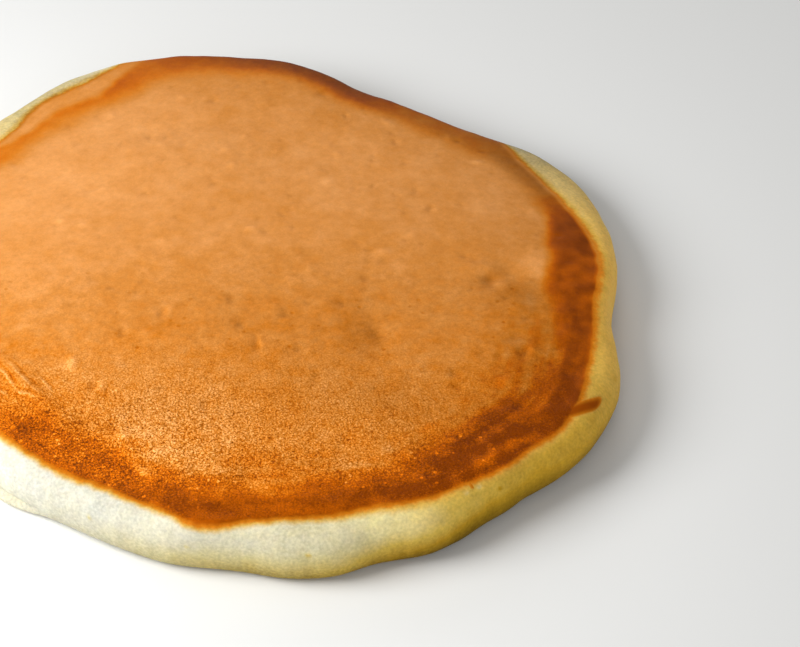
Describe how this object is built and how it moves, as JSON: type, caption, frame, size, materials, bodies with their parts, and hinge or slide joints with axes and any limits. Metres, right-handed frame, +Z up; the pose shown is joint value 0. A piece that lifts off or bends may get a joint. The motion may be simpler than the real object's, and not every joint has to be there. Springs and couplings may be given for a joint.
{
  "type": "pancake",
  "caption": "Thick soft griddle pancake with an unevenly poured outline, a browned upper face with a darker toasted ring, and a pale rounded side.",
  "frame": {"origin": "on the flat underside, below the middle of the pancake's bounding box", "axes": "+Z up out of the browned face, through the pancake's thickness; seen with +X to the right, the shallow dent in the outline lies at the far right and the thin second lip of batter at the near left"},
  "size_m": [0.1142, 0.1148, 0.0111],
  "materials": {
    "baked_batter": "matte"
  },
  "bodies": {
    "root": {"pancake": "baked_batter"}
  },
  "joints": []
}
